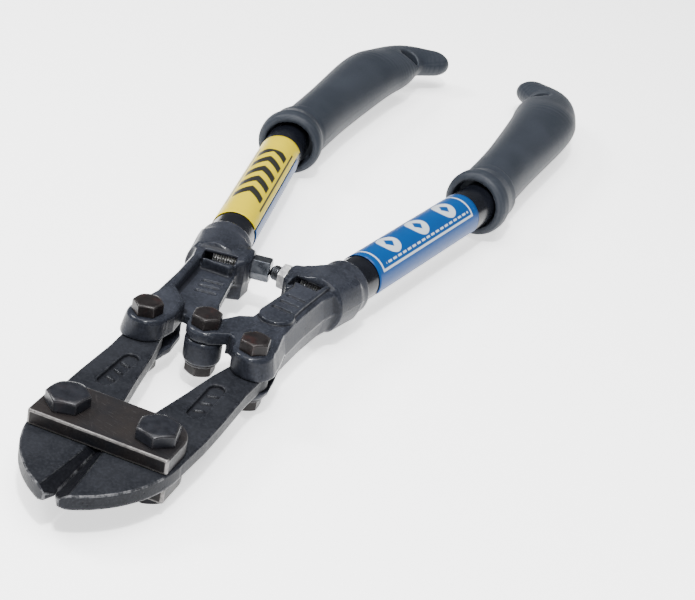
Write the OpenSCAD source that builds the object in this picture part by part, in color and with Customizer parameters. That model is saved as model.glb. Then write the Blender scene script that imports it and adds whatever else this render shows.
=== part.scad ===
// Bolt cutter with a toggle linkage: two jaws between straps, two forged handle arms,
// tubular handles and moulded grips.
// Millimetres. Jaws face -Y, handles run to +Y, Z is up, X = 0 is the cutting plane.

/* [Jaws and straps] */
// distance between the two strap bolts
jaw_pitch = 26.2; // [22:0.1:32]
// thickness of each jaw
jaw_t = 4.4; // [3:0.1:7]
// thickness of each strap
strap_t = 4.4; // [3:0.1:7]
// width of the straps
strap_w = 40.6; // [36:0.1:48]
// strap edge in front of the bolts
strap_front = 8.2; // [6:0.1:12]
// strap edge behind the bolts
strap_rear = 10.2; // [8:0.1:14]
// corner rounding at the rear of the straps
strap_corner = 9; // [2:0.5:10]
// radius of the jaw nose outline
nose_r = 33.5; // [28:0.5:40]
// length of the nose in front of the bolts
nose_len = 30.3; // [24:0.1:36]
// half width of the cutting bevel at the tip
bevel_tip = 4.2; // [2:0.1:6]
// half width of the cutting bevel at the strap
bevel_root = 2.3; // [1:0.1:4]
// half thickness left at the cutting edge
edge_land = 0.3; // [0.1:0.05:1]

/* [Linkage] */
// sideways position of a tail pivot
tail_x = 16.9; // [14:0.1:20]
// tail pivot behind the strap bolts
tail_y = 52.4; // [45:0.1:60]
// centre pivot behind the strap bolts
center_y = 56.45; // [50:0.05:64]
// shank radius of the strap bolts
strap_bolt_r = 3; // [2.5:0.1:4]
// shank radius of the pivot bolts
pivot_r = 2.5; // [2:0.1:3]
// running clearance in the pivot bores
fit = 0.06; // [0.02:0.01:0.1]
// side play between stacked plates
play = 0.1; // [0.05:0.01:0.3]
// oversize of the open centre hole
center_slack = 1.15; // [0.8:0.05:1.6]

/* [Handle arms] */
// angle of each handle tube from the tool axis
splay = 10.25; // [6:0.05:15]
// top of the arms over the mid-plane
cheek_h = 9.2; // [8:0.1:11]
// underside of the arms below the mid-plane
foot_h = 5; // [4:0.1:7]
// underside of the centre hub below the mid-plane
hub_h = 2.2; // [1:0.1:4]
// height where the two arms are lapped
lap_h = 5.35; // [4:0.05:7]
// radius of the fork ears
ear_r = 6.1; // [5.5:0.1:7]
// radius of the lapped ears
lap_r = 5.6; // [5:0.1:6.5]
// radius of the socket collar
collar_r = 8.9; // [8.6:0.1:10.5]
// height of the raised bar on the right arm
bar_h = 1.3; // [0.5:0.1:2]

/* [Handles] */
// height of the tube axis over the mid-plane
handle_z = 2.1; // [0:0.1:4]
// outer radius of the tubes
tube_r = 7.35; // [6:0.05:9]
// wall of the tubes
tube_wall = 1.6; // [1:0.1:2.5]
// distance of the tube bend behind the strap bolts
bend_y = 211; // [200:1:220]
// radius of the tube bend
bend_r = 45; // [30:1:80]
// rear end of the grips behind the strap bolts
grip_end = 343.6; // [320:0.1:360]
// radius of the grip body
grip_r = 9.9; // [9:0.1:13]
// half width of the grips at their widest
palm_r = 12.5; // [11:0.1:14]
// radius of the grip flange
flange_r = 11.8; // [11:0.1:16]
// radius of the hanging hole
hang_r = 4.1; // [3:0.1:5]
// start of the labels behind the strap bolts
label_y0 = 126; // [122:1:140]
// end of the labels behind the strap bolts
label_y1 = 194; // [170:1:196]

/* [Stop screws] */
// height of the stop screws over the mid-plane
stop_z = 4.6; // [2:0.1:5]
// stop screw line where it crosses the tool axis
stop_y = 106.9; // [104:0.1:114]
// thread radius of the stop screws
stop_r = 2.5; // [2:0.1:3]
// inner faces of the arm bosses
boss_x = 6.6; // [5:0.1:9]

/* [Hidden] */

bolt_x = jaw_pitch / 2;
jaw_z = jaw_t / 2;                     // jaws lie on the mid-plane
slot_z = jaw_z + play;                 // inner faces of straps and forks
strap_z = slot_z + strap_t;            // outer faces of the straps
mid_y = (grip_end - nose_len) / 2;     // middle of the whole length
nose_cx = -12.1;                       // nose arc centre, right jaw
nose_cy = -0.4;
nose_end = nose_cy - sqrt(nose_r * nose_r - pow(bevel_tip - nose_cx, 2));
gap = 0.1;                             // cutting edges stop this far from X = 0
axis_x = 20.1;                         // a point of the straight tube axis
axis_y = 113.1;
bend_run = bend_r * tan(splay / 2);
grip_x = axis_x + (bend_y - axis_y) * tan(splay);
tube_start = 111;                      // tubes start in the sockets
tube_end = bend_y + 88;                // and end inside the grips
stop_x = boss_x + 9.4;                 // middle of the window, along X
head_h = 4;
small_head_h = 3.7;
small_nut_h = 3.4;
washer_t = 0.8;
base_z = strap_z + washer_t + small_nut_h + 0.2;  // the strap bolts rest on the ground
eps = 0.01;
$fn = 72;

module at_frame() { translate([0, -mid_y, base_z]) children(); }
module left_side() { mirror([1, 0, 0]) children(); }

// ---- fasteners ----

module hex_prism(af, h) { cylinder(r = af / 2 / cos(30), h = h, $fn = 6); }

// hexagon with a turned chamfer on its top
module hex_head(af, h) {
    intersection() {
        rotate([0, 0, 12]) hex_prism(af, h);
        rotate_extrude() polygon([[0, 0], [af * 0.6, 0], [af * 0.6, h * 0.72],
            [af * 0.44, h], [0, h]]);
    }
}

// hexagon chamfered on both ends, with a thread bore
module hex_nut(af, h, bore) {
    difference() {
        intersection() {
            rotate([0, 0, 4]) hex_prism(af, h);
            rotate_extrude() polygon([[0, 0], [af * 0.45, 0], [af * 0.6, h * 0.2],
                [af * 0.6, h * 0.8], [af * 0.45, h], [0, h]]);
        }
        translate([0, 0, -1]) cylinder(r = bore, h = h + 2);
    }
}

module washer(r, bore, t) {
    difference() {
        cylinder(r = r, h = t);
        translate([0, 0, -1]) cylinder(r = bore, h = t + 2);
    }
}

// head on top of seat_z, shank down to end_z
module bolt(af, h, r, seat_z, end_z) {
    translate([0, 0, seat_z]) hex_head(af, h);
    translate([0, 0, end_z + r * 0.2]) cylinder(r = r, h = seat_z - end_z - r * 0.2 + eps);
    translate([0, 0, end_z]) cylinder(r1 = r * 0.8, r2 = r, h = r * 0.2);
}

// ---- straps and their bolts ----

module strap_2d() {
    difference() {
        union() {
            translate([-strap_w / 2, -strap_front])
                square([strap_w, strap_front + strap_rear - strap_corner]);
            translate([-strap_w / 2 + strap_corner, -strap_front])
                square([strap_w - 2 * strap_corner, strap_front + strap_rear]);
            for (s = [-1, 1]) translate([s * (strap_w / 2 - strap_corner),
                strap_rear - strap_corner]) circle(r = strap_corner);
        }
        for (s = [-1, 1]) translate([s * bolt_x, 0]) circle(r = strap_bolt_r + 0.03);
    }
}

module strap(z0) { translate([0, 0, z0]) linear_extrude(strap_t) strap_2d(); }

module strap_top() { color("#3b3c40") at_frame() strap(slot_z); }
module strap_bottom() { color("#37383c") at_frame() strap(-strap_z); }

module strap_bolt() {
    translate([bolt_x, 0, 0])
        bolt(10.6, head_h, strap_bolt_r, strap_z, -base_z);
}
module strap_bolt_right() { color("#34343a") at_frame() strap_bolt(); }
module strap_bolt_left() { color("#34343a") at_frame() left_side() strap_bolt(); }

module strap_washer() {
    translate([bolt_x, 0, -strap_z - washer_t])
        washer(6.2, strap_bolt_r + 0.05, washer_t);
}
module strap_washer_right() { color("#55565a") at_frame() strap_washer(); }
module strap_washer_left() { color("#55565a") at_frame() left_side() strap_washer(); }

module strap_nut() {
    translate([bolt_x, 0, -strap_z - washer_t - small_nut_h])
        hex_nut(10, small_nut_h, strap_bolt_r + 0.02);
}
module strap_nut_right() { color("#2f3034") at_frame() strap_nut(); }
module strap_nut_left() { color("#2f3034") at_frame() left_side() strap_nut(); }

// ---- jaws ----

module jaw_blank() {
    translate([0, 0, -jaw_z]) linear_extrude(jaw_t) intersection() {
        translate([nose_cx, nose_cy]) circle(r = nose_r, $fn = 160);
        translate([gap, -nose_len]) square([30, nose_len - 1]);
    }
    // arm back to the tail pivot
    translate([0, 0, -jaw_z]) linear_extrude(jaw_t)
        polygon([[gap, -4], [gap + 0.15, -1], [4.7, 17], [7.1, 30], [9.2, 43],
            [11.6, tail_y + 1], [tail_x + 5, tail_y + 1], [21.4, 40], [21.9, 24],
            [22, 12], [21.3, -2]]);
    translate([tail_x, tail_y, -jaw_z]) cylinder(r = 5.4, h = jaw_t);
}

// plane that forms one cutting bevel, on the side of +Z
module bevel_cut() {
    lean = atan((bevel_tip - bevel_root) / (nose_len - strap_front));
    slope = atan((jaw_z - edge_land) / (bevel_tip - gap) / cos(lean));
    translate([bevel_tip, -nose_len, jaw_z]) rotate([0, 0, lean]) rotate([0, -slope, 0])
        translate([-30, -10, 0]) cube([60, nose_len + 10, 12]);
}

// recessed panel with raised dashes in it
module jaw_panel() {
    difference() {
        translate([13.5, 30, jaw_z - 1]) rotate([0, 0, 1]) {
            linear_extrude(3) {
                square([4.8, 14], center = true);
                for (s = [-1, 1]) translate([0, s * 7]) circle(r = 2.4, $fn = 48);
            }
        }
        for (k = [0 : 2]) translate([13.5, 25.5 + 4.4 * k, jaw_z - 2])
            rotate([0, 0, 24]) translate([-1.3, -0.35, 0]) cube([2.6, 0.7, 1.55]);
    }
}

module jaw() {
    difference() {
        jaw_blank();
        bevel_cut();
        mirror([0, 0, 1]) bevel_cut();
        jaw_panel();
        translate([bolt_x, 0, -20]) cylinder(r = strap_bolt_r + fit, h = 40);
        translate([tail_x, tail_y, -20]) cylinder(r = pivot_r + fit, h = 40);
    }
}
module jaw_right() { color("#44464b") at_frame() jaw(); }
module jaw_left() { color("#44464b") at_frame() left_side() jaw(); }

// ---- handle arms ----

// frame of one handle: Y along the tube, X outward, at the tube axis
module on_axis() {
    translate([axis_x, axis_y, handle_z]) rotate([0, 0, -splay]) children();
}
// frame of one stop screw: Z points inward along the screw
module on_stop() {
    translate([0, stop_y, stop_z]) rotate([0, 0, -splay]) rotate([0, -90, 0]) children();
}

// outer rail from the fork ear to the socket
module rail_2d(inner) {
    polygon([[inner, 72], [inner + 1.9, 93], [boss_x, 98.6], [boss_x, 105],
        [9.3, 110], [13, 112.8], [20, 113.2], [27.4, 110.8], [25.6, 104], [22.9, 93],
        [21.9, 80], [21.5, 66], [22.8, 58], [tail_x + ear_r, tail_y],
        [tail_x - ear_r, tail_y], [9.9, 57], [10.8, 65]]);
    translate([tail_x, tail_y]) circle(r = ear_r);
}

// cheeks, rail and collar shared by both arms
module arm_core(inner) {
    difference() {
        union() {
            translate([0, 0, -foot_h]) linear_extrude(foot_h + cheek_h) rail_2d(inner);
            on_axis() rotate([90, 0, 0]) translate([0, 0, -4.2])
                cylinder(r = collar_r, h = 17);
        }
        // fork slot for the jaw tail
        translate([-10, 30, -slot_z]) cube([50, 35, 2 * slot_z]);
    }
}

// cuts shared by both arms
module arm_cuts() {
    // socket for the tube
    on_axis() rotate([90, 0, 0]) translate([0, 0, -6])
        cylinder(r = tube_r + 0.02, h = 12);
    // window over the stop screw, undercut below the shoulder
    translate([0, stop_y, 0]) rotate([0, 0, -splay]) translate([10.8, 0, 0])
        rotate([90, 0, 90]) linear_extrude(10.4)
            polygon([[-9.8, 20], [-5.2, 20], [-5.2, 7.6], [3.2, 7.6], [3.2, 0.6], [-9.8, 0.6]]);
    // thread bore through the boss
    on_stop() translate([0, 0, -stop_x - 7]) cylinder(r = stop_r + 0.02, h = 30);
    // tail pivot bore
    translate([tail_x, tail_y, -20]) cylinder(r = pivot_r + 0.02, h = 40);
}

// left arm: recessed web runs under the right arm to the centre pivot
module arm_left_body() {
    difference() {
        union() {
            arm_core(17.3);
            translate([0, 0, slot_z]) linear_extrude(lap_h - play / 2 - slot_z) {
                polygon([[-1.5, 61.8], [4.3, 76.5], [8.2, 96], [8.6, 101], [22, 101],
                    [20, 70], [11, 64], [7.6, 63], [5.2, 58.5], [0, 56]]);
            }
            translate([0, center_y, -hub_h])
                cylinder(r = lap_r, h = hub_h + lap_h - play / 2);
            translate([0, 0, stop_z - 4]) linear_extrude(8) polygon([[boss_x, 100], [boss_x, 106],
                [12, 108], [20, 100], [18, 93], [9.5, 93]]);
            on_stop() translate([0, 0, -12]) cylinder(r = 5, h = 12 - boss_x / cos(splay));
        }
        arm_cuts();
        // engraved bars on the web
        for (k = [0 : 2]) translate([7.6 + 0.4 * k, 80 + 3.4 * k, lap_h - 0.6])
            rotate([0, 0, -10]) cube([6.5, 1.3, 3]);
        translate([0, center_y, -20]) cylinder(r = pivot_r + 0.02, h = 40);
    }
}

// right arm: deck runs over the left arm to the centre pivot and carries a raised bar
module arm_right_body() {
    difference() {
        union() {
            difference() {
                union() {
                    arm_core(17.3);
                    translate([0, 0, slot_z]) linear_extrude(cheek_h - slot_z)
                        polygon([[0, 56], [2, 62], [5.3, 67.3], [8.8, 69.7], [11.6, 91.7],
                            [8.4, 101], [22, 101], [20, 70], [12, 53], [8, 55.6], [3, 52]]);
                }
                translate([0, center_y, -20])
                    cylinder(r = lap_r + 1.7, h = 20 + lap_h + play / 2);
            }
            translate([0, center_y, lap_h + play / 2])
                cylinder(r = lap_r, h = cheek_h - lap_h - play / 2);
            // raised bar with a round front end
            translate([0, 0, cheek_h - eps]) linear_extrude(bar_h) {
                polygon([[9.6, 73], [12.2, 91.6], [10.4, 97], [21.8, 97], [20.6, 82],
                    [20.2, 73]]);
                translate([14.9, 73]) circle(r = 5.3);
            }
            on_stop() translate([0, 0, -12]) cylinder(r = 5, h = 12 - boss_x / cos(splay));
        }
        arm_cuts();
        // engraved bars on the raised bar
        for (k = [0 : 2]) translate([11.8 + 0.5 * k, 76 + 4.4 * k, cheek_h + bar_h - 0.6])
            rotate([0, 0, -8]) cube([6.4, 1.5, 3]);
        translate([0, center_y, -20]) cylinder(r = pivot_r + center_slack, h = 40);
    }
}
module arm_right() { color("#303238") at_frame() arm_right_body(); }
module arm_left() { color("#303238") at_frame() left_side() arm_left_body(); }

// ---- tubes, labels and grips ----

// solid along the handle axis: straight run, bend of radius r + dr, run parallel to Y
module along_handle(r, dr, from_y, to_y) {
    s0 = (from_y - axis_y) / cos(splay);
    s1 = (bend_y - axis_y) / cos(splay) - bend_run;
    on_axis() translate([0, s0, 0]) rotate([-90, 0, 0]) cylinder(r = r, h = s1 - s0);
    translate([grip_x - bend_r, bend_y + bend_run, handle_z]) rotate([0, 0, -splay - 0.6])
        rotate_extrude(angle = splay + 1.2) translate([bend_r, 0]) circle(r = r + dr);
    translate([grip_x, bend_y + bend_run, handle_z]) rotate([-90, 0, 0])
        cylinder(r = r, h = to_y - bend_y - bend_run);
}

module tube() {
    difference() {
        along_handle(tube_r, -0.05, tube_start, tube_end);
        along_handle(tube_r - tube_wall, 0.05, tube_start - 1, tube_end + 1);
    }
}
module tube_right() { color("#1d1e22") at_frame() tube(); }
module tube_left() { color("#1d1e22") at_frame() left_side() tube(); }

// thin printed sleeve around part of a tube
module sleeve(from_y, to_y, from_a, span) {
    s0 = (from_y - axis_y) / cos(splay);
    s1 = (to_y - axis_y) / cos(splay);
    on_axis() translate([0, s0, 0]) rotate([-90, 0, 0]) rotate([0, 0, from_a])
        rotate_extrude(angle = span) translate([tube_r + 0.01, 0]) square([0.14, s1 - s0]);
}
module label_right() { color("#1a5fa8") at_frame() sleeve(label_y0, label_y1, 150, 240); }
module label_left() {
    color("#f4dc1f") at_frame() left_side() sleeve(label_y0 + 1, label_y1 + 2, 170, 206);
}
module note_left() {
    color("#2f6fb2") at_frame() left_side() sleeve(label_y0 + 1, label_y1 - 4, 60, 100);
}

// flattened ball of half width r and half height h, lowered by drop
module ball(x, y, r, h, drop = 0) {
    translate([x, y, handle_z - drop]) scale([1, 1, h / r]) sphere(r = r, $fn = 40);
}

// soft grip: flange, body and inward hook at the end
module grip_solid() {
    s_f = (bend_y - axis_y) / cos(splay);
    on_axis() translate([-0.8, s_f - 5.5, 0]) rotate([-90, 0, 0])
        rotate_extrude() polygon([[0, 0], [9.8, 0], [11.2, 0.7], [flange_r, 2.4],
            [flange_r, 5], [11, 8], [10.2, 11], [grip_r - 0.3, 14], [0, 14]]);
    hull() {
        ball(grip_x - 1.2, bend_y + 9, grip_r, grip_r);
        ball(grip_x - 0.6, bend_y + 38, grip_r + 0.3, grip_r - 0.1);
    }
    hull() {
        ball(grip_x - 0.6, bend_y + 38, grip_r + 0.3, grip_r - 0.1);
        ball(grip_x - 0.4, bend_y + 80, palm_r, 9.2);
    }
    hull() {
        ball(grip_x - 0.4, bend_y + 80, palm_r, 9.2);
        ball(grip_x - 2.2, bend_y + 97, palm_r, 8, 0.6);
    }
    hull() {
        ball(grip_x - 2.2, bend_y + 97, palm_r, 8, 0.6);
        ball(grip_x - 5.2, bend_y + 115, 9.2, 6.2, 1.2);
        ball(23.2, grip_end - 7.4, 7.4, 5, 2.2);
    }
}

module grip() {
    difference() {
        grip_solid();
        along_handle(tube_r + 0.02, 0.05, 190, tube_end + 0.5);
        // recess round the tube in the flange
        on_axis() translate([-0.3, 90, 0]) rotate([-90, 0, 0])
            cylinder(r = 9, h = 10);
        translate([28.8, grip_end - 24.6, -30]) cylinder(r = hang_r, h = 60);
    }
}
module grip_right() { color("#3a3f49") at_frame() grip(); }
module grip_left() { color("#3a3f49") at_frame() left_side() grip(); }

// ---- pivot bolts ----

module tail_bolt() {
    translate([tail_x, tail_y, 0])
        bolt(8, small_head_h, pivot_r, cheek_h, -foot_h - washer_t - small_nut_h - 0.6);
}
module tail_washer() {
    translate([tail_x, tail_y, -foot_h - washer_t])
        washer(4.9, pivot_r + 0.05, washer_t);
}
module tail_nut() {
    translate([tail_x, tail_y, -foot_h - washer_t - small_nut_h])
        hex_nut(8, small_nut_h, pivot_r + 0.02);
}
module tail_bolt_right() { color("#3a3537") at_frame() tail_bolt(); }
module tail_bolt_left() { color("#34353a") at_frame() left_side() tail_bolt(); }
module tail_washer_right() { color("#55565a") at_frame() tail_washer(); }
module tail_washer_left() { color("#55565a") at_frame() left_side() tail_washer(); }
module tail_nut_right() { color("#2f3034") at_frame() tail_nut(); }
module tail_nut_left() { color("#2f3034") at_frame() left_side() tail_nut(); }

module center_bolt() {
    color("#3a3537") at_frame() translate([0, center_y, 0])
        bolt(8, small_head_h, pivot_r, cheek_h + play, -hub_h - washer_t - small_nut_h - 0.6);
}
module center_washer() {
    color("#55565a") at_frame() translate([0, center_y, -hub_h - washer_t])
        washer(4.9, pivot_r + 0.05, washer_t);
}
module center_nut() {
    color("#2f3034") at_frame() translate([0, center_y, -hub_h - washer_t - small_nut_h])
        hex_nut(8, small_nut_h, pivot_r + 0.02);
}

// ---- stop screws ----

// long hexagon head on the left arm
module stop_screw() {
    color("#8d9298") at_frame() left_side() on_stop() {
        translate([0, 0, -stop_x - 4.6]) cylinder(r = stop_r, h = stop_x - 1.6);
        translate([0, 0, -6.4]) rotate([0, 0, 30]) hex_prism(6.8, 5.4);
    }
}
// threaded stud on the right arm, its end tapered to meet the head
module stop_stud() {
    color("#b4b8bd") at_frame() on_stop() {
        translate([0, 0, -stop_x - 4.4]) cylinder(r = stop_r, h = stop_x + 3.9);
        translate([0, 0, -0.5]) cylinder(r1 = stop_r, r2 = 1.3, h = 0.95);
    }
}
module lock_nut() {
    color("#c3c6ca") at_frame() on_stop() translate([0, 0, -6.5])
        hex_nut(7.8, 2.9, stop_r + 0.03);
}

strap_top();
strap_bottom();
strap_bolt_left();
strap_bolt_right();
strap_washer_left();
strap_washer_right();
strap_nut_left();
strap_nut_right();
jaw_left();
jaw_right();
arm_left();
tube_left();
grip_left();
label_left();
note_left();
tail_bolt_left();
tail_washer_left();
tail_nut_left();
center_bolt();
center_washer();
center_nut();
stop_screw();
arm_right();
tube_right();
grip_right();
label_right();
tail_bolt_right();
tail_washer_right();
tail_nut_right();
stop_stud();
lock_nut();
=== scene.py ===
"""Looks of the bolt cutter: forged arms, jaws and straps, fasteners, painted tubes with printed
labels, and soft grips. Shapes are written in millimetres, with y = 0 on the line of the strap
bolts and z = 0 in the middle of the jaws, and go to the row frame in metres at the end."""
import math

import bpy
import numpy as np
from mathutils import Matrix, Vector


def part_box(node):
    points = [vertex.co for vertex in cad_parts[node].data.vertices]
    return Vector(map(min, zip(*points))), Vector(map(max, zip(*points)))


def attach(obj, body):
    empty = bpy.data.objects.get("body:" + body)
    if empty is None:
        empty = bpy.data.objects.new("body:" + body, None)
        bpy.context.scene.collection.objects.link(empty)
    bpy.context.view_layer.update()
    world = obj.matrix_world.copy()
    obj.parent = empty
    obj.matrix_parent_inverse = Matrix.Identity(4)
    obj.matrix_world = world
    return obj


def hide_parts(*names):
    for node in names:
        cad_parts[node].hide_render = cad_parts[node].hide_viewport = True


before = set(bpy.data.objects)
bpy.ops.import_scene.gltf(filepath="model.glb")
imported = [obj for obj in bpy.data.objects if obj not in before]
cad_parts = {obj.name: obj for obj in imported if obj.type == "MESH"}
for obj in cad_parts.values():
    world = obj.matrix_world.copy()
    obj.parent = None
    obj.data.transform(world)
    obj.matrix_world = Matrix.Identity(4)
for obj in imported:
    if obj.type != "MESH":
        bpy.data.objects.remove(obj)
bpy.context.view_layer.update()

MM = 0.001


def middle(node):
    """Middle of a CAD node's box, in millimetres of the row frame."""
    low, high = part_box(node)
    return np.array((low + high) / 2) / MM


# row-frame place of the point where the strap bolt line meets the middle plane
ORIGIN = np.array([0, middle("strap_bolt_right")[1], middle("jaw_right")[2]])

STRAP_BOLT_X = middle("strap_bolt_right")[0]
TAIL_X, TAIL_Y = (middle("tail_nut_right") - ORIGIN)[:2]
CENTER_Y = (middle("center_nut") - ORIGIN)[1]
GRIP_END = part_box("grip_right")[1].y / MM - ORIGIN[1]
FLOOR_Z = -ORIGIN[2]

SLOT_Z = 2.3          # half height of the gap between the straps
STRAP_Z = 6.7         # outer faces of the straps
ARM_TOP = 9.2
ARM_FOOT = -5.0
LAP_Z = 5.35          # height where one arm lies on the other
HUB_FOOT = -2.2
SPLAY = math.radians(10.25)
AXIS_X, AXIS_Y, AXIS_Z = 20.1, 113.1, 2.1      # a point of the right tube's axis
TUBE_R, TUBE_WALL = 7.35, 1.6
BEND_Y, BEND_R = 211.0, 45.0
GRIP_X = AXIS_X + (BEND_Y - AXIS_Y) * math.tan(SPLAY)
STOP_Y, STOP_Z, STOP_R = 106.9, 4.6, 2.5
BOSS_X = 6.6
WINDOW_ALONG, WINDOW_HALF = 16, 5.2            # middle and half length of the windows, on the screw
WINDOW_FRONT, WINDOW_FLOOR = 9.8, 0.6          # front edge ahead of the screw, and depth
WINDOW_BACK = 3.2                              # rear of the undercut, behind the screw
HANG_Y, HANG_X, HANG_R = GRIP_END - 24.6, 28.8, 4.1


# ---- fields: signed distances in millimetres, negative inside ----

def join(a, b, soft):
    """Smaller of two distances, with a fillet about soft wide where they meet."""
    h = np.maximum(soft - np.abs(a - b), 0) / soft
    return np.minimum(a, b) - h * h * soft / 4


def meet(a, b, soft):
    """Larger of two distances: what both shapes hold, its new edge rounded by soft."""
    return -join(-a, -b, soft)


def cut(a, b, soft):
    """Shape a with shape b taken out, the new edge rounded by soft."""
    return -join(-a, b, soft)


def outline(x, y, corners):
    """Distance to a flat outline: the least distance to its sides, negative where a line to the
    right crosses an odd number of them."""
    square, inside = 1e9, False
    for (ax, ay), (bx, by) in zip(corners, corners[1:] + corners[:1]):
        ex, ey = bx - ax, by - ay
        t = np.clip(((x - ax) * ex + (y - ay) * ey) / (ex * ex + ey * ey), 0, 1)
        square = np.minimum(square, (x - ax - t * ex) ** 2 + (y - ay - t * ey) ** 2)
        inside = inside ^ (((ay > y) != (by > y)) & (x < ex * (y - ay) / (ey or 1e-9) + ax))
    return np.where(inside, -1, 1) * np.sqrt(square)


def plate(flat, z, bottom, top, r):
    """A flat outline given a thickness from bottom to top, with edges of radius r: the distance to
    the outline and to the faces, both drawn in by r, joined as the sides of a right angle."""
    side = flat + r
    face = np.abs(z - (bottom + top) / 2) - (top - bottom) / 2 + r
    return np.minimum(np.maximum(side, face), 0) + np.hypot(
        np.maximum(side, 0), np.maximum(face, 0)) - r


def stadium(x, y, cx, cy, angle, half, radius):
    """Distance to a flat slot with round ends: the distance to its middle line, less the radius."""
    c, s = math.cos(angle), math.sin(angle)
    along = (x - cx) * c + (y - cy) * s
    across = (y - cy) * c - (x - cx) * s
    return np.hypot(np.maximum(np.abs(along) - half, 0), across) - radius


def hexagon(x, y, across_flats, turn):
    """Distance to a hexagon's sides: the largest reach along its three directions."""
    reach = [np.abs(x * math.cos(turn + k * math.pi / 3) + y * math.sin(turn + k * math.pi / 3))
             for k in range(3)]
    return np.maximum(np.maximum(reach[0], reach[1]), reach[2]) - across_flats / 2


def handle_frame(x, y):
    """Outward and along-the-tube coordinates of the right handle."""
    c, s = math.cos(SPLAY), math.sin(SPLAY)
    return (x - AXIS_X) * c - (y - AXIS_Y) * s, (x - AXIS_X) * s + (y - AXIS_Y) * c


def stop_frame(x, y):
    """Coordinates along and across the right stop screw, from the plane between the handles."""
    c, s = math.cos(SPLAY), math.sin(SPLAY)
    return x * c - (y - STOP_Y) * s, x * s + (y - STOP_Y) * c


# ---- from a field to a mesh ----

def slope(field, points, reach):
    """Gradient of a field by differences over reach each way, and the sum of the six samples."""
    parts, total = [], 0
    for axis in range(3):
        step = np.zeros(3)
        step[axis] = reach
        ahead, behind = field(*(points + step).T), field(*(points - step).T)
        parts.append((ahead - behind) / (2 * reach))
        total = total + ahead + behind
    return np.stack(parts, 1), total


def net(field, low, high, step):
    """Points and four-sided faces of the surface where the field is zero. The box from low to
    high is cut in cubes. A cube that the surface crosses gets one point, the mean of the crossings
    on its edges, and a grid line that it crosses gives one face through the four cubes round it."""
    low = np.array(low, float)
    counts = np.ceil((np.array(high) - low) / step).astype(int) + 1
    lines = [low[i] + step * np.arange(counts[i]) for i in range(3)]
    value = np.broadcast_to(field(*np.meshgrid(*lines, indexing="ij", sparse=True)), counts)
    inside = value < 0
    cells = counts - 1
    total = np.zeros((*cells, 3))
    hits = np.zeros(cells)
    crossings = []
    for a in range(3):
        b, c = (a + 1) % 3, (a + 2) % 3
        near, far = [slice(None)] * 3, [slice(None)] * 3
        near[a], far[a] = slice(None, -1), slice(1, None)
        v0, v1 = value[tuple(near)], value[tuple(far)]
        crossed = inside[tuple(near)] != inside[tuple(far)]
        share = np.where(crossed, v0 / np.where(crossed, v0 - v1, 1), 0)
        for i in (0, 1):
            for j in (0, 1):
                window = [slice(None)] * 3
                window[b], window[c] = slice(i, i + cells[b]), slice(j, j + cells[c])
                here = crossed[tuple(window)]
                hits += here
                total[..., a] += share[tuple(window)]
                total[..., b] += i * here
                total[..., c] += j * here
        crossings.append(crossed)
    used = hits > 0
    number = np.full(cells, -1)
    number[used] = np.arange(used.sum())
    points = low + step * (np.argwhere(used) + total[used] / hits[used][:, None])
    faces = []
    for a, crossed in enumerate(crossings):
        b, c = (a + 1) % 3, (a + 2) % 3
        at = np.argwhere(crossed)
        corners = []
        for i, j in ((-1, -1), (0, -1), (0, 0), (-1, 0)):
            cell = at.copy()
            cell[:, b] += i
            cell[:, c] += j
            corners.append(number[tuple(cell.T)])
        quad = np.stack(corners, 1)
        inward = ~inside[tuple(at.T)]
        quad[inward] = quad[inward][:, ::-1]
        faces.append(quad)
    return points, np.concatenate(faces)


def make(name, points, faces, paint, body, slot, *nodes, marks=None, uv=None, order=1):
    """A mesh object from points in millimetres and four-sided faces, riding on a body and standing
    for CAD nodes. order -1 turns the faces round."""
    mesh = bpy.data.meshes.new(name)
    faces = faces[:, ::order]
    mesh.vertices.add(len(points))
    mesh.vertices.foreach_set("co", ((points + ORIGIN) * MM).astype(np.float32).ravel())
    mesh.loops.add(faces.size)
    mesh.loops.foreach_set("vertex_index", faces.ravel().astype(np.int32))
    mesh.polygons.add(len(faces))
    mesh.polygons.foreach_set("loop_start", np.arange(0, faces.size, 4, dtype=np.int32))
    mesh.update(calc_edges=True)
    mesh.validate()
    mesh.shade_smooth()
    for mark, values in (marks or {}).items():
        mesh.attributes.new(mark, "FLOAT", "POINT").data.foreach_set(
            "value", values.astype(np.float32))
    if uv is not None:
        mesh.uv_layers.new(name="print").data.foreach_set(
            "uv", uv[faces.ravel()].astype(np.float32).ravel())
    mesh.materials.append(paint)
    piece = bpy.data.objects.new(name, mesh)
    bpy.context.scene.collection.objects.link(piece)
    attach(piece, body)
    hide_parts(*nodes)
    return piece


def carve(name, field, low, high, step, paint, body, slot, *nodes, ground=None):
    """A piece whose surface is where the field is zero: the net, each point then slid down the
    field's gradient onto the surface. Its edge attribute is the surface's bending there, above 0
    on ridges and below 0 in hollows. ground is a field that is negative where the surface was
    ground, kept as the ground attribute."""
    points, faces = net(field, low, high, step)
    for _ in range(3):
        gradient, _sum = slope(field, points, 0.04)
        size = np.maximum((gradient ** 2).sum(1), 0.05)
        move = (field(*points.T) / size)[:, None] * gradient
        points = points - np.clip(move, -0.5 * step, 0.5 * step)
    reach = 0.45
    _gradient, total = slope(field, points, reach)
    marks = {"edge": np.clip((total - 6 * field(*points.T)) / reach ** 2, -1, 1)}
    if ground:
        marks["ground"] = np.clip(0.5 - ground(*points.T) / 0.3, 0, 1)
    return make(name, points, faces, paint, body, slot, *nodes, marks=marks)


def mirrored(field):
    """The same shape on the other side of the tool."""
    return lambda x, y, z: field(-x, y, z)


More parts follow.
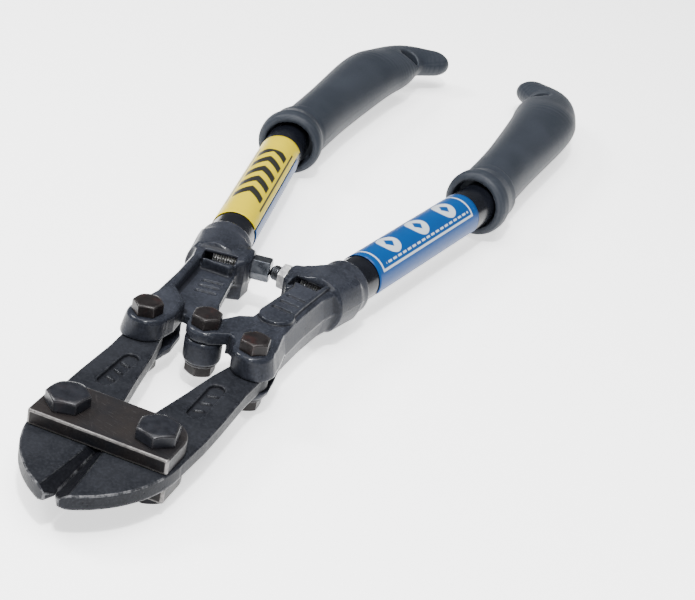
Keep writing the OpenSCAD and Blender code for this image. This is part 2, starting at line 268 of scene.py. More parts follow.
def both(name, field, low, high, step, paint, bodies, slot, nodes, ground=None):
    """A right piece and its mirror on the left, from one field."""
    carve(f"{name}_right", field, low, high, step, paint, bodies[1], slot,
          *[f"{n}_right" for n in nodes], ground=ground)
    carve(f"{name}_left", mirrored(field), (-high[0], low[1], low[2]),
          (-low[0], high[1], high[2]), step, paint, bodies[0], slot,
          *[f"{n}_left" for n in nodes], ground=ground and mirrored(ground))


# ---- materials ----

class Value:
    """A shader socket. Python's operators on it add Math nodes."""

    def __init__(self, paint, socket):
        self.paint, self.socket = paint, socket

    def maths(self, operation, *values):
        return self.paint.node("ShaderNodeMath", {"operation": operation}, *values)

    def __add__(self, other):
        return self.maths("ADD", self, other)

    def __radd__(self, other):
        return self.maths("ADD", other, self)

    def __sub__(self, other):
        return self.maths("SUBTRACT", self, other)

    def __rsub__(self, other):
        return self.maths("SUBTRACT", other, self)

    def __mul__(self, other):
        return self.maths("MULTIPLY", self, other)

    def __rmul__(self, other):
        return self.maths("MULTIPLY", other, self)

    def __truediv__(self, other):
        return self.maths("DIVIDE", self, other)

    def __abs__(self):
        return self.maths("ABSOLUTE", self)

    def part(self):
        """What is left above the whole number."""
        return self.maths("FRACT", self)

    def root(self):
        return self.maths("SQRT", self)

    def most(self, other):
        return self.maths("MAXIMUM", self, other)

    def ramp(self, start, end):
        """0 below start, 1 above end, smooth between."""
        return self.paint.node("ShaderNodeMapRange", {"interpolation_type": "SMOOTHSTEP"},
                               self, start, end, 0.0, 1.0)


class Paint:
    """One material being written."""

    def __init__(self, name):
        self.material = bpy.data.materials.new(name)
        self.material.use_nodes = True
        self.tree = self.material.node_tree
        self.tree.nodes.clear()

    def node(self, kind, settings=None, *inputs, out=0, **named):
        """Adds a node of a kind with its settings, fills its sockets in order or by name with
        numbers, colours or Values, and gives the Value of one output."""
        made = self.tree.nodes.new(kind)
        for key, value in (settings or {}).items():
            if key == "stops":
                while len(made.color_ramp.elements) < len(value):
                    made.color_ramp.elements.new(0.5)
                for element, (place, colour) in zip(made.color_ramp.elements, value):
                    element.position, element.color = place, (*colour, 1)
            else:
                setattr(made, key, value)
        filled = [*enumerate(inputs), *[(k.replace("_", " "), v) for k, v in named.items()]]
        for key, value in filled:
            if value is None:
                continue
            socket = made.inputs[key]
            if isinstance(value, Value):
                self.tree.links.new(value.socket, socket)
            elif isinstance(value, tuple) and len(value) == 3 and socket.type == "RGBA":
                socket.default_value = (*value, 1)
            else:
                socket.default_value = value
        return Value(self, made.outputs[out]) if len(made.outputs) else made

    def point(self):
        return self.node("ShaderNodeTexCoord", out="Object")

    def noise(self, point, scale, detail=3.0, rough=0.55):
        """Cloudy pattern from 0 to 1, with features of about one over scale metres."""
        return self.node("ShaderNodeTexNoise", None, point, None, scale, detail, rough)

    def stretched(self, point, scales, turn=0.0):
        """Coordinates turned about Z and then scaled on each axis."""
        turned = self.node("ShaderNodeMapping", None, point, (0, 0, 0), (0, 0, turn), (1, 1, 1))
        return self.node("ShaderNodeMapping", None, turned, (0, 0, 0), (0, 0, 0), scales)

    def mark(self, name):
        """A piece's own attribute."""
        return self.node("ShaderNodeAttribute", {"attribute_name": name}, out="Fac")

    def mix(self, factor, a, b):
        """Colour a where factor is 0 and b where it is 1."""
        made = self.node("ShaderNodeMix", {"data_type": "RGBA"}, factor, out=2)
        owner = made.socket.node
        for index, value in ((6, a), (7, b)):
            if isinstance(value, Value):
                self.tree.links.new(value.socket, owner.inputs[index])
            else:
                owner.inputs[index].default_value = (*value, 1)
        return made

    def bump(self, height, depth, under=None):
        """Relief of a height from 0 to 1 that stands depth metres high."""
        return self.node("ShaderNodeBump", None, Height=height, Distance=depth, Strength=1.0,
                         Normal=under)

    def done(self, **sockets):
        """Fills the surface shader and gives the material."""
        shader = self.node("ShaderNodeBsdfPrincipled", None,
                           **{k: v for k, v in sockets.items()})
        out = self.tree.nodes.new("ShaderNodeOutputMaterial")
        self.tree.links.new(shader.socket, out.inputs["Surface"])
        return self.material


def forged(name, dark, light, rubbed_and_highlight, wear, roughness, shine, sand=0.00007, gloss=0.2,
           front=0.0):
    """Blackened forging: mottled colour, a sandy skin with small darkened pits, smooth glossy
    ridges that are rubbed to lighter metal in places, and painted shade in the hollows. Ground
    faces are painted near-black as painted shade. front is the extra wear ahead of the strap, there
    partly a painted highlight on the rim."""
    p = Paint(name)
    point = p.point()
    mottle = p.noise(point, 110, 4).ramp(0.3, 0.7)
    grit = p.noise(point, 1300, 3, 0.65)
    fine = p.noise(point, 4600, 2, 0.6)
    pit = 1 - p.node("ShaderNodeTexVoronoi", None, point, None, 700.0).ramp(0.08, 0.3)
    pit = pit * p.noise(point, 240, 2).ramp(0.5, 0.66) * 0.6
    edge = p.mark("edge")
    patchy = p.noise(point, 420, 4, 0.7).ramp(0.42, 0.62)
    smooth = edge.ramp(0.05, 0.5)
    # ahead of the strap the extra rubbed edges are partly a painted highlight along the nose rim
    ahead = p.node("ShaderNodeSeparateXYZ", None, point, out=1).ramp(
        (ORIGIN[1] - 8) * MM, (ORIGIN[1] - 10) * MM)
    ridge = edge.ramp(0.3, 0.95) * (0.1 + 0.9 * patchy) * (wear + ahead * front)
    hollow_shade = (0 - edge).ramp(0.1, 0.7)
    ground = p.mark("ground")
    colour = p.mix(mottle, dark, light)
    colour = p.mix(grit.ramp(0.4, 0.75) * 0.6, colour, tuple(1.7 * v for v in light))
    # painted shade: hollows darkened to near-black, the small pits darkened with them
    colour = p.mix((hollow_shade * 0.6).most(pit * 0.7), colour, (0.002, 0.002, 0.003))
    # rubbed lighter metal on ridges, which ahead of the strap is partly a painted highlight
    colour = p.mix(ridge, colour, rubbed_and_highlight)
    # painted shade: the ground faces of the groove between the bevels are painted near-black
    colour = p.mix(ground * (1 - ridge), colour, (0.0015, 0.0015, 0.0025))
    rough = (roughness + (mottle - 0.5) * 0.08 + (grit - 0.5) * 0.3 + pit * 0.2
             - smooth * gloss - ground * 0.1)
    normal = p.bump((grit * 0.7 + fine * 0.3) * (1 - smooth * 0.7), sand)
    normal = p.bump(1 - pit, sand * 1.6, normal)
    return p.done(Base_Color=colour, Roughness=rough, Metallic=(ridge * 0.6).most(ground),
                  Specular_IOR_Level=shine, Normal=normal)


def strap_steel():
    """Heat-browned plate with fine cross scratches, bright where its front edge is rubbed, that
    bright edge partly a painted highlight.
    """
    p = Paint("strap_steel")
    point = p.point()
    bloom = p.noise(point, 75, 5, 0.6).ramp(0.3, 0.7)
    cloud = p.noise(point, 320, 4, 0.65)
    long_marks = p.noise(p.stretched(point, (260, 2600, 400), 0.25), 1.0, 4, 0.7).ramp(0.58, 0.74)
    cross_marks = p.noise(p.stretched(point, (1900, 180, 400), -0.6), 1.0, 3, 0.7).ramp(0.62, 0.76)
    marks = long_marks.most(cross_marks * 0.7)
    grit = p.noise(point, 2400, 3, 0.6)
    edge = p.mark("edge")
    patchy = p.noise(point, 380, 4, 0.7).ramp(0.3, 0.6)
    ridge = edge.ramp(0.15, 0.8) * (0.4 + 0.6 * patchy)
    # front edge of the strap, where the rubbed edge is partly a painted highlight
    front = p.node("ShaderNodeSeparateXYZ", None, point, out=1).ramp(
        (ORIGIN[1] - 6.9) * MM, (ORIGIN[1] - 7.7) * MM)
    colour = p.mix(bloom, (0.0042, 0.0048, 0.0065), (0.0105, 0.0086, 0.0082))
    colour = p.mix(cloud.ramp(0.45, 0.7) * 0.6, colour, (0.0050, 0.0042, 0.0044))
    colour = p.mix(marks * 0.3, colour, (0.05, 0.046, 0.045))
    # rubbed lighter edges, strongest on the front edge, there partly a painted highlight
    colour = p.mix(ridge * (0.05 + 0.65 * front), colour, (0.22, 0.21, 0.205))
    rough = 0.44 + (cloud - 0.5) * 0.3 - marks * 0.08 - ridge * 0.14
    normal = p.bump(grit * 0.6 + cloud * 0.4 - marks * 0.5, 0.00006)
    return p.done(Base_Color=colour, Roughness=rough, Metallic=ridge * front * 0.7,
                  Specular_IOR_Level=0.15, Normal=normal)


def bolt_steel(name, dark, light, rust):
    """Black-oxide bolt heads: cloudy finish, rubbed corners and a brown bloom on the sides."""
    p = Paint(name)
    point = p.point()
    cloud = p.noise(point, 420, 4, 0.6)
    grit = p.noise(point, 2600, 3, 0.6)
    edge = p.mark("edge")
    ridge = edge.ramp(0.2, 0.9) * (0.4 + 0.6 * p.noise(point, 700, 3, 0.7).ramp(0.35, 0.6))
    colour = p.mix(cloud.ramp(0.3, 0.7), dark, light)
    colour = p.mix(p.noise(point, 260, 4).ramp(0.5, 0.7) * rust, colour, (0.018, 0.0055, 0.0045))
    colour = p.mix(ridge * 0.14, colour, (0.12, 0.115, 0.115))
    rough = 0.40 + (cloud - 0.5) * 0.25 + (grit - 0.5) * 0.15 - edge.ramp(0.05, 0.5) * 0.14
    return p.done(Base_Color=colour, Roughness=rough, Metallic=ridge * 0.4,
                  Specular_IOR_Level=0.17, Normal=p.bump(grit * 0.5 + cloud * 0.5, 0.00006))


def plated_steel(name, start, shine):
    """Plated screw: one plating in a darker blue-grey copy near the tool's middle and a brighter
    lit copy from start millimetres outwards, painted light and shade, with turning marks, and
    painted shade in the hollows of the thread."""
    p = Paint(name)
    point = p.point()
    cloud = p.noise(point, 500, 4, 0.6)
    grit = p.noise(point, 3200, 3, 0.6)
    hollow_shade = (0 - p.mark("edge")).ramp(0.1, 0.8)
    # mask for the brighter lit copy: painted light from start millimetres outwards
    bright = abs(p.node("ShaderNodeSeparateXYZ", None, point)).ramp(
        (start - 0.5) * MM, (start + 0.5) * MM)
    shaded_copy = p.mix(cloud.ramp(0.3, 0.7), (0.030, 0.034, 0.042), (0.075, 0.080, 0.090))
    lit_copy = p.mix(cloud.ramp(0.3, 0.7), (0.55 * shine, 0.55 * shine, 0.58 * shine),
                  (shine, shine, 0.98 * shine))
    colour = p.mix(bright, shaded_copy, lit_copy)
    # painted shade in the hollows of the thread
    colour = p.mix(hollow_shade * 0.7, colour, (0.03, 0.028, 0.026))
    rough = 0.3 + (cloud - 0.5) * 0.2 + hollow_shade * 0.2
    return p.done(Base_Color=colour, Roughness=rough, Metallic=0.9,
                  Normal=p.bump(grit * 0.5 + cloud * 0.5, 0.00003))


def tube_paint():
    """Gloss black paint with orange peel, dust specks and faint rubbed streaks along the tube."""
    p = Paint("tube_paint")
    point = p.point()
    peel = p.noise(point, 750, 2, 0.4)
    streak = p.noise(p.stretched(point, (1200, 60, 1200), SPLAY), 1.0, 4, 0.6).ramp(0.55, 0.8)
    dust = p.noise(point, 2600, 2).ramp(0.68, 0.76)
    colour = p.mix(p.noise(point, 160, 3).ramp(0.3, 0.7), (0.0022, 0.0026, 0.0040),
                   (0.0042, 0.0048, 0.0070))
    colour = p.mix(dust * 0.2, colour, (0.04, 0.04, 0.043))
    return p.done(Base_Color=colour, Roughness=0.2 + streak * 0.12 + dust * 0.1,
                  Specular_IOR_Level=0.16, Normal=p.bump(peel, 0.00002))


def grip_rubber():
    """Soft dark slate moulding: fine matt texture, faint flow clouds and rubbed high spots."""
    p = Paint("grip_rubber")
    point = p.point()
    cloud = p.noise(point, 55, 4, 0.55)
    skin = p.noise(point, 2900, 3, 0.65)
    orange = p.noise(point, 900, 2, 0.5)
    edge = p.mark("edge")
    ridge = edge.ramp(0.05, 0.5) * (0.4 + 0.6 * p.noise(point, 300, 3, 0.7))
    colour = p.mix(cloud.ramp(0.3, 0.7), (0.0105, 0.0132, 0.0185), (0.0165, 0.0198, 0.0262))
    colour = p.mix(skin.ramp(0.4, 0.8) * 0.4, colour, (0.021, 0.025, 0.033))
    colour = p.mix(ridge * 0.35, colour, (0.035, 0.039, 0.046))
    rough = 0.52 + (cloud - 0.5) * 0.14 + (skin - 0.5) * 0.2 - ridge * 0.05
    return p.done(Base_Color=colour, Roughness=rough, Specular_IOR_Level=0.16,
                  Normal=p.bump(skin * 0.6 + orange * 0.4, 0.00005))


def printed(name, build):
    """Printed film: build(paint, along, across) gives the ink's colour from millimetres along the
    tube and round it from its crown. The film is scuffed a little and slightly wavy."""
    p = Paint(name)
    uv = p.node("ShaderNodeSeparateXYZ", None, p.node("ShaderNodeUVMap", {"uv_map": "print"}))
    along = Value(p, uv.socket.node.outputs[0]) * 100
    across = Value(p, uv.socket.node.outputs[1]) * 100
    point = p.point()
    scuff = p.noise(p.stretched(point, (900, 200, 900), SPLAY), 1.0, 4, 0.7).ramp(0.62, 0.8)
    colour = p.mix(scuff * 0.16, build(p, along, across), (0.3, 0.3, 0.3))
    return p.done(Base_Color=colour, Roughness=0.34 + scuff * 0.25,
                  Specular_IOR_Level=0.12, Normal=p.bump(p.noise(point, 420, 2), 0.00002))


def band(value, low, high, soft=0.12):
    """1 where a value lies between low and high."""
    return value.ramp(low - soft, low + soft) * (1 - value.ramp(high - soft, high + soft))


def yellow_ink(p, along, across):
    """Yellow with a black block of chevrons between two thin rules."""
    bars = ((along + abs(across) * 0.9) / 9.0).part()
    block = band(along, 14, 56) * band(across, -5.2, 5.2)
    black = (block * band(bars, 0.0, 0.52, 0.015)).most(
        band(across, -6.9, -6.2) * band(along, 10, 60)).most(
        band(across, 6.2, 6.9) * band(along, 10, 60))
    tone = p.noise(p.point(), 120, 3)
    yellow = p.mix(tone, (0.40, 0.31, 0.0002), (0.45, 0.35, 0.0003))
    return p.mix(black, yellow, (0.012, 0.012, 0.01))


def blue_ink(p, along, across):
    """Blue with a white frame, three plain white discs with a blue diamond in each, and a row of
    dashes under them."""
    frame_out = band(along, 3, 65) * band(across, -8.5, 8.0)
    frame_in = band(along, 3.8, 64.2) * band(across, -7.7, 7.2)
    cell = ((along - 6) / 19).part() * 19 - 9.5
    inside = band(along, 6.2, 62.8)
    low = across - 0.4
    disc = (4.4 - (cell * cell + low * low).root()).ramp(-0.15, 0.15) * inside
    hole = (abs(cell) + abs(low)).ramp(2.0, 2.3)
    dash = (along / 3.2).part().ramp(0.3, 0.36) * band(across, 5.5, 6.2) * inside
    white = (frame_out - frame_in).most(disc * hole).most(dash)
    tone = p.noise(p.point(), 120, 3)
    blue = p.mix(tone, (0.0006, 0.030, 0.120), (0.0010, 0.038, 0.145))
    return p.mix(white, blue, (0.34, 0.37, 0.40))


casting = forged("arm_casting", (0.0076, 0.0086, 0.0118), (0.0158, 0.0174, 0.0228),
                 (0.03, 0.033, 0.038), 0.12, 0.42, 0.11, gloss=0.28)
# jaws: front adds rubbed edges on the nose ahead of the strap, partly a painted highlight
jaw_skin = forged("jaw_steel", (0.0054, 0.0060, 0.0078), (0.0102, 0.0110, 0.0136),
                  (0.24, 0.24, 0.25), 0.04, 0.46, 0.08, sand=0.00009, gloss=0.2, front=0.3)
strap_skin = strap_steel()
blue_bolt = bolt_steel("strap_bolt_steel", (0.0038, 0.0042, 0.0062), (0.0085, 0.0093, 0.0125), 0.12)
brown_bolt = bolt_steel("pivot_bolt_steel", (0.0036, 0.0028, 0.0030), (0.0078, 0.0062, 0.0062), 0.5)
washer_skin = bolt_steel("washer_steel", (0.012, 0.012, 0.014), (0.03, 0.03, 0.033), 0.2)
# start and brightness of the lit copy: painted light on the outer parts of the screws and nut
screw_steel = plated_steel("plated_screw", 7.5, 0.85)
nut_steel = plated_steel("plated_nut", 0.5, 0.26)
gloss_black = tube_paint()
rubber = grip_rubber()
yellow_film = printed("label_yellow_film", yellow_ink)
blue_film = printed("label_blue_film", blue_ink)


# ---- straps and jaws ----

def strap_field(bottom):
    """A plate with two wide rear corners and two small front ones."""
    def field(x, y, z):
        half_x, half_y, shift = 20.3, 9.2, 1.0
        v = y - shift
        r = np.where(v > 0, 9.0, 0.7)
        qx, qy = np.abs(x) - half_x + r, np.abs(v) - half_y + r
        flat = np.minimum(np.maximum(qx, qy), 0) + np.hypot(
            np.maximum(qx, 0), np.maximum(qy, 0)) - r
        return plate(flat, z, bottom, bottom + 4.4, 0.4)
    return field


NOSE_X, NOSE_Y, NOSE_R, NOSE_LEN = -12.1, -0.4, 33.5, 30.3
JAW_GAP, JAW_Z = 0.1, 2.2
JAW_ARM = [(0.1, -4), (0.25, -1), (4.7, 17), (7.1, 30), (9.2, 43), (11.6, 53.4), (21.9, 53.4),
           (21.4, 40), (21.9, 24), (22, 12), (21.3, -2)]
BEVEL_TIP, BEVEL_LEAN, BEVEL_SLOPE = 4.2, math.radians(4.914), math.radians(24.8)


def bevel_field(x, y, z):
    """Both wedges that are ground off to leave the cutting edge."""
    wedges = 1e9
    for side in (1, -1):
        over = (-math.sin(BEVEL_SLOPE) * math.cos(BEVEL_LEAN) * (x - BEVEL_TIP)
                - math.sin(BEVEL_SLOPE) * math.sin(BEVEL_LEAN) * (y + NOSE_LEN)
                + math.cos(BEVEL_SLOPE) * (z * side - JAW_Z))
        wedges = np.minimum(wedges, np.maximum(-over, y - 0.5))
    return wedges


def jaw_field(x, y, z):
    """Right jaw: an arc nose and a long arm as one rounded plate, two sloping planes that leave
    the cutting edge, and a round-ended recess with three raised marks."""
    nose = np.maximum(np.hypot(x - NOSE_X, y - NOSE_Y) - NOSE_R, np.maximum(
        JAW_GAP - x, y + 1.3))
    flat = np.minimum(nose, outline(x, y, JAW_ARM))
    flat = join(flat, np.hypot(x - TAIL_X, y - TAIL_Y) - 5.4, 0.6)
    body = plate(flat, z, -JAW_Z, JAW_Z, 0.4)
    body = cut(body, bevel_field(x, y, z), 0.15)
    body = cut(body, 0.78 * x + 0.62 * (y + 28.4), 0.3)
    recess = stadium(x, y, 13.5, 30, math.radians(91), 7, 2.4)
    marks = 1e9
    for k in range(3):
        marks = np.minimum(marks, stadium(x, y, 13.5, 25.5 + 4.4 * k, math.radians(24), 1.0, 0.5))
    recess = np.maximum(recess, JAW_Z - 1.0 + 0.55 * (marks < 0) - z)
    return cut(body, recess, 0.35)


carve("strap_plate_top", strap_field(SLOT_Z), (-21.5, -9.4, 1.6), (21.5, 11.4, 7.4), 0.3,
      strap_skin, "head", "strap_steel", "strap_top")
carve("strap_plate_bottom", strap_field(-STRAP_Z), (-21.5, -9.4, -7.4), (21.5, 11.4, -1.6), 0.3,
      strap_skin, "head", "strap_steel", "strap_bottom")
both("jaw_blade", jaw_field, (-0.8, -31.4, -3), (23.2, 59, 3), 0.28, jaw_skin,
     ("jaw_left_body", "jaw_right_body"), "jaw_steel", ["jaw"], ground=bevel_field)


# ---- handle arms ----

RAIL = [(17.3, 72), (19.2, 93), (6.6, 98.6), (6.6, 105), (9.3, 110), (13, 112.8), (20, 113.2),
        (27.2, 110.8), (25.1, 104), (22.3, 93), (21.2, 80), (20.8, 66), (22.4, 58), (23, 52.4),
        (10.8, 52.4), (9.9, 57), (10.8, 65)]
WEB = [(-1.5, 61.8), (4.3, 76.5), (8.2, 96), (8.6, 101), (22, 101), (20, 70), (11, 64),
       (7.6, 63), (5.2, 58.5), (0, 56)]
DECK = [(0, 56), (2, 62), (5.3, 67.3), (8.8, 69.7), (11.6, 91.7), (8.4, 101), (22, 101),
        (20, 70), (12, 53), (8, 55.6), (3, 52)]
BAR = [(9.6, 73), (12.2, 91.6), (10.4, 99), (21.2, 99), (19.6, 82), (19.2, 73)]
BOSS = [(6.6, 100), (6.6, 106), (12, 108), (20, 100), (18, 93), (9.5, 93)]


def arm_core(x, y, z):
    """Rail with its round fork ear, blended into the collar that holds the tube, and slotted at
    the front for the jaw's tail."""
    flat = join(outline(x, y, RAIL), np.hypot(x - TAIL_X, y - TAIL_Y) - 6.1, 0.5)
    out, along = handle_frame(x, y)
    collar = plate(np.hypot(out, z - AXIS_Z) - 8.9, along, -12.8, 4.2, 0.5)
    draft = np.clip((x - 17) / 4, 0, 1) * (0.22 * np.abs(z - 2.1) - 1.1)
    body = join(plate(flat + draft, z, ARM_FOOT, ARM_TOP, 1.2), collar, 2.4)
    return cut(body, np.maximum(np.abs(z) - SLOT_Z, y - 65), 0.5)


def arm_cuts(body, x, y, z, lip):
    """Window over the stop screw as far back as a lip, undercut behind it, and the tube's
    socket."""
    along, across = stop_frame(x, y)
    ends = np.abs(along - WINDOW_ALONG) - WINDOW_HALF
    centre, half = (lip - WINDOW_FRONT) / 2, (lip + WINDOW_FRONT) / 2
    opening = plate(np.maximum(np.abs(across - centre) - half, ends), z, WINDOW_FLOOR, 30, 0.5)
    centre, half = (WINDOW_BACK - WINDOW_FRONT) / 2, (WINDOW_BACK + WINDOW_FRONT) / 2
    under = plate(np.maximum(np.abs(across - centre) - half, ends), z, WINDOW_FLOOR,
                  ARM_TOP - 0.9, 0.5)
    body = cut(body, join(opening, under, 0.3), 0.35)
    out, along = handle_frame(x, y)
    return cut(body, np.maximum(np.hypot(out, z - AXIS_Z) - TUBE_R - 0.15, -along - 6), 0.5)


def stop_boss(x, y, z):
    """Round boss that the stop screw comes out of, and the block behind it."""
    along, across = stop_frame(x, y)
    boss = plate(np.hypot(across, z - STOP_Z) - 5, along, BOSS_X + 0.1, 12, 0.5)
    return join(boss, plate(outline(x, y, BOSS), z, STOP_Z - 4, STOP_Z + 4, 0.8), 1.0)


def left_arm_field(x, y, z):
    """Left arm, written on the right: a low web runs to a thick hub at the centre pivot."""
    web = plate(outline(x, y, WEB), z, SLOT_Z, LAP_Z - 0.05, 0.5)
    hub = plate(np.hypot(x, y - CENTER_Y) - 5.6, z, HUB_FOOT, LAP_Z - 0.05, 1.0)
    body = join(join(arm_core(x, y, z), web, 1.0), hub, 0.8)
    body = arm_cuts(join(body, stop_boss(x, y, z), 1.2), x, y, z, -5.0)
    for k in range(3):
        bar = stadium(x, y, 10.9 + 0.4 * k, 80.1 + 3.4 * k, math.radians(-10), 2.6, 0.65)
        body = cut(body, np.maximum(bar, LAP_Z - 0.6 - z), 0.3)
    return body


def right_arm_field(x, y, z):
    """Right arm: a deck lies over the left arm at the centre pivot and carries a raised bar."""
    deck = plate(outline(x, y, DECK), z, SLOT_Z, ARM_TOP, 0.7)
    body = join(arm_core(x, y, z), deck, 1.0)
    body = cut(body, np.maximum(np.hypot(x, y - CENTER_Y) - 7.3, z - LAP_Z - 0.05), 0.4)
    lug = plate(np.hypot(x, y - CENTER_Y) - 5.6, z, LAP_Z + 0.05, ARM_TOP, 1.2)
    body = join(body, lug, 0.8)
    flat = np.minimum(outline(x, y, BAR), np.hypot(x - 14.9, y - 73) - 5.3)
    body = join(body, plate(flat, z, ARM_TOP - 2, ARM_TOP + 1.3, 0.5), 0.5)
    body = arm_cuts(join(body, stop_boss(x, y, z), 1.2), x, y, z, -3.8)
    for k in range(3):
        bar = stadium(x, y, 15.0 + 0.5 * k, 76.3 + 4.4 * k, math.radians(-8), 2.5, 0.75)
        body = cut(body, np.maximum(bar, ARM_TOP + 0.7 - z), 0.3)
    return body


ARM_LOW, ARM_HIGH = (-6.6, 45.2, -8.0), (30.2, 119.5, 12.2)
carve("forged_arm_right", right_arm_field, ARM_LOW, ARM_HIGH, 0.38, casting,
      "handle_right", "arm_casting", "arm_right")
carve("forged_arm_left", mirrored(left_arm_field),
      (-ARM_HIGH[0], ARM_LOW[1], ARM_LOW[2]), (-ARM_LOW[0], ARM_HIGH[1], ARM_HIGH[2]), 0.38,
      casting, "handle_left", "arm_casting", "arm_left")


# ---- tubes and labels ----

def tube_path(stations):
    """Middle line of the right tube for distances along it from the axis point: straight, then an
    arc that takes out the splay, then straight back. Gives the points and the outward direction."""
    run = (BEND_Y - AXIS_Y) / math.cos(SPLAY) - BEND_R * math.tan(SPLAY / 2)
    turned = np.clip((stations - run) / BEND_R, 0, SPLAY)
    angle = SPLAY - turned
    before = np.minimum(stations, run)
    after = np.maximum(stations - run - BEND_R * SPLAY, 0)
    x = AXIS_X + before * math.sin(SPLAY) + BEND_R * (np.cos(angle) - math.cos(SPLAY))
    y = AXIS_Y + before * math.cos(SPLAY) + BEND_R * (math.sin(SPLAY) - np.sin(angle)) + after
    return x, y, np.cos(angle), -np.sin(angle)


def sleeve(stations, radii, angles):
    """Surface round the tube's middle line: at each station a ring of its radius, its angle
    measured from the crown towards the outside."""
    x, y, ux, uy = (v[:, None] for v in tube_path(stations))
    side = radii[:, None] * np.sin(angles)[None]
    rise = radii[:, None] * np.cos(angles)[None]
    return np.stack([x + ux * side, y + uy * side, AXIS_Z + rise], -1)


def grid_faces(rows, columns, close_rows, close_columns):
    """Faces between neighbours of a grid of points, round the seam where it is closed."""
    r = np.arange(rows if close_rows else rows - 1)[:, None]
    c = np.arange(columns if close_columns else columns - 1)[None]
    r1, c1 = (r + 1) % rows, (c + 1) % columns
    corners = [r * columns + c, r1 * columns + c, r1 * columns + c1, r * columns + c1]
    return np.stack([np.broadcast_to(v, (r.size, c.size)).ravel() for v in corners], 1)


def tube_wall(side, body, node):
    """A hollow tube: rings go out along its outer wall and come back along its inner one."""
    start, end = -2.1, 190.1
    go = np.concatenate([np.linspace(start, 92, 48), np.linspace(93, 106, 20),
                         np.linspace(108, end, 30)])
    lip = 0.3
    stations = np.concatenate([[start], go[:1] + lip, go[1:-1], go[-1:] - lip, [end], [end],
                               go[::-1][1:-1], [start]])
    inner = TUBE_R - TUBE_WALL
    radii = np.concatenate([[TUBE_R - lip], np.full(len(go), TUBE_R), [TUBE_R - lip],
                            np.full(len(go), inner)])
    angles = np.linspace(0, 2 * math.pi, 96, endpoint=False)
    points = sleeve(stations, radii, angles).reshape(-1, 3)
    faces = grid_faces(len(stations), len(angles), True, True)
    if side < 0:
        points = points * (-1, 1, 1)
    return make(f"painted_tube_{'left' if side < 0 else 'right'}", points, faces, gloss_black,
                body, "tube_paint", node, order=1 if side > 0 else -1)


def film(name, side, y0, y1, angle0, angle1, paint, slot, node):
    """Printed film on a tube: part of a sleeve with a thin wall. Its UV map holds the distance
    along the tube and round it from the crown, in tenths of a metre."""
    first = (y0 - AXIS_Y) / math.cos(SPLAY)
    last = (y1 - AXIS_Y) / math.cos(SPLAY)
    stations = np.linspace(first, last, 60)
    angles = np.radians(np.linspace(angle0, angle1, 90))
    outer = TUBE_R + 0.15
    points = sleeve(stations, np.full(60, outer), angles)
    along = np.broadcast_to(stations[:, None] - first, points.shape[:2])
    round_ = np.broadcast_to(angles[None] * outer, points.shape[:2])
    uv = np.stack([along, round_], -1).reshape(-1, 2) / 100
    points = points.reshape(-1, 3)
    if side < 0:
        points = points * (-1, 1, 1)
    body = "handle_left" if side < 0 else "handle_right"
    piece = make(name, points, grid_faces(60, 90, False, False), paint, body, slot, node,
                 uv=uv, order=1 if side > 0 else -1)
    wall = piece.modifiers.new("wall", "SOLIDIFY")
    wall.thickness, wall.offset = 0.12 * MM, -1
    return piece


tube_wall(1, "handle_right", "tube_right")
tube_wall(-1, "handle_left", "tube_left")
film("film_blue_right", 1, 126, 194, -125, 115, blue_film, "label_blue", "label_right")
film("film_yellow_left", -1, 127, 195, -66, 116, yellow_film, "label_yellow", "label_left")
film("film_blue_left", -1, 127, 190, -150, -70, blue_film, "label_blue", "note_left")


# ---- grips ----

# middle line of the right grip: x, y, height over the tube axis, half width, half height
GRIP_LINE = [(GRIP_X - 1.2, BEND_Y + 9, 0.0, 9.9, 9.9),
             (GRIP_X - 0.6, BEND_Y + 38, 0.0, 10.2, 9.8),
             (GRIP_X - 0.4, BEND_Y + 80, 0.0, 12.5, 9.2),
             (GRIP_X - 2.2, BEND_Y + 97, -0.6, 12.5, 8.0),
             (GRIP_X - 5.2, BEND_Y + 115, -1.2, 9.2, 6.2),
             (23.2, GRIP_END - 7.4, -2.2, 7.4, 5.0)]


def smoothed(line, count):
    """Points along a smooth curve through a line's points: cubic pieces whose slope at each point
    is the one between its neighbours."""
    line = np.array(line, float)
    tangent = np.gradient(line, axis=0)
    place = np.linspace(0, len(line) - 1.0001, count)
    i, t = place.astype(int), (place % 1)[:, None]
    return ((2 * t ** 3 - 3 * t ** 2 + 1) * line[i] + (t ** 3 - 2 * t ** 2 + t) * tangent[i]
            + (3 * t ** 2 - 2 * t ** 3) * line[i + 1] + (t ** 3 - t ** 2) * tangent[i + 1])


GRIP_BEADS = smoothed(GRIP_LINE, 34)
FLANGE = [(0, 9.0), (0, 10.2), (0.9, 11.3), (2.4, 11.7), (5, 11.7), (8, 10.9), (11, 10.1),
          (15, 9.6), (15, 0), (5.8, 0), (5.8, 9.0)]


